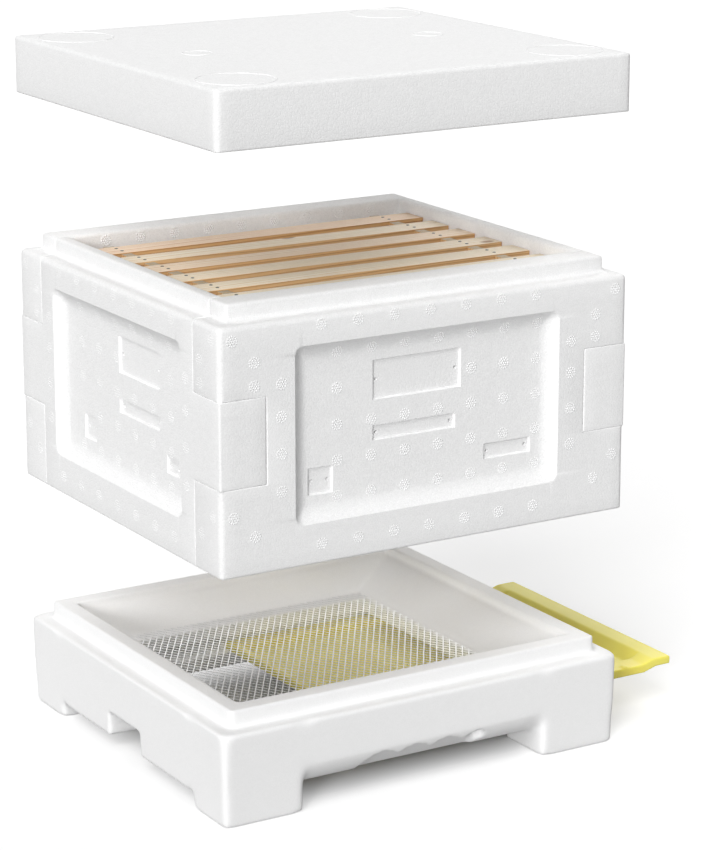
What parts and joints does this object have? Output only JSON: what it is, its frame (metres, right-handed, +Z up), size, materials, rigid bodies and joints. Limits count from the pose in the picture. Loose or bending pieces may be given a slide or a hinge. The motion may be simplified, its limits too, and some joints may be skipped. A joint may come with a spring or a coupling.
{
  "type": "nuc box",
  "caption": "Foam nuc box for small bee frames, shown lifted apart: flat lid, finger-jointed box with spaced wooden frames, and a mesh floor with a pull-out drawer.",
  "frame": {"origin": "on the ground, at the centre of the rectangle that the four feet stand in", "axes": "+X the way the drawer pulls out, +Z up, -Y the front with the finger grip; the frames run along X and are spaced along Y"},
  "size_m": [0.401, 0.296, 0.494],
  "materials": {
    "box_foam": "matte",
    "floor_foam": "matte",
    "pine": "matte",
    "nail_steel": "satin",
    "mesh_metal": "satin",
    "drawer_plastic": "satin"
  },
  "bodies": {
    "floor": {"floor_tray": "floor_foam", "floor_mesh": "mesh_metal"},
    "drawer": {"drawer": "drawer_plastic"},
    "box": {"box_front_wall": "box_foam", "box_back_wall": "box_foam", "box_left_wall": "box_foam", "box_right_wall": "box_foam"},
    "frame_1": {"frame_1_top_bar": "pine", "frame_1_left_side_bar": "pine", "frame_1_right_side_bar": "pine", "frame_1_bottom_bar": "pine", "frame_1_nails": "nail_steel"},
    "frame_2": {"frame_2_top_bar": "pine", "frame_2_left_side_bar": "pine", "frame_2_right_side_bar": "pine", "frame_2_bottom_bar": "pine", "frame_2_nails": "nail_steel"},
    "frame_3": {"frame_3_top_bar": "pine", "frame_3_left_side_bar": "pine", "frame_3_right_side_bar": "pine", "frame_3_bottom_bar": "pine", "frame_3_nails": "nail_steel"},
    "frame_4": {"frame_4_top_bar": "pine", "frame_4_left_side_bar": "pine", "frame_4_right_side_bar": "pine", "frame_4_bottom_bar": "pine", "frame_4_nails": "nail_steel"},
    "frame_5": {"frame_5_top_bar": "pine", "frame_5_left_side_bar": "pine", "frame_5_right_side_bar": "pine", "frame_5_bottom_bar": "pine", "frame_5_nails": "nail_steel"},
    "frame_6": {"frame_6_top_bar": "pine", "frame_6_left_side_bar": "pine", "frame_6_right_side_bar": "pine", "frame_6_bottom_bar": "pine", "frame_6_nails": "nail_steel"},
    "lid": {"lid": "box_foam"}
  },
  "joints": [
    {"name": "drawer_slide", "type": "slide", "parent": "floor", "child": "drawer", "axis": [1, 0, 0], "range_m": [-0.062, 0.1]},
    {"name": "box_lift", "type": "slide", "parent": "floor", "child": "box", "axis": [0, 0, 1], "range_m": [-0.1077, 0]},
    {"name": "frame_1_lift", "type": "slide", "parent": "box", "child": "frame_1", "axis": [0, 0, 1], "range_m": [0, 0.17]},
    {"name": "frame_2_lift", "type": "slide", "parent": "box", "child": "frame_2", "axis": [0, 0, 1], "range_m": [0, 0.17]},
    {"name": "frame_3_lift", "type": "slide", "parent": "box", "child": "frame_3", "axis": [0, 0, 1], "range_m": [0, 0.17]},
    {"name": "frame_4_lift", "type": "slide", "parent": "box", "child": "frame_4", "axis": [0, 0, 1], "range_m": [0, 0.17]},
    {"name": "frame_5_lift", "type": "slide", "parent": "box", "child": "frame_5", "axis": [0, 0, 1], "range_m": [0, 0.17]},
    {"name": "frame_6_lift", "type": "slide", "parent": "box", "child": "frame_6", "axis": [0, 0, 1], "range_m": [0, 0.17]},
    {"name": "lid_lift", "type": "slide", "parent": "frame_1", "child": "lid", "axis": [0, 0, 1], "range_m": [-0.1117, 0]}
  ],
  "couplings": [
    {"joint": "frame_2_lift", "follows": "frame_1_lift", "ratio": 1},
    {"joint": "frame_3_lift", "follows": "frame_1_lift", "ratio": 1},
    {"joint": "frame_4_lift", "follows": "frame_1_lift", "ratio": 1},
    {"joint": "frame_5_lift", "follows": "frame_1_lift", "ratio": 1},
    {"joint": "frame_6_lift", "follows": "frame_1_lift", "ratio": 1}
  ]
}
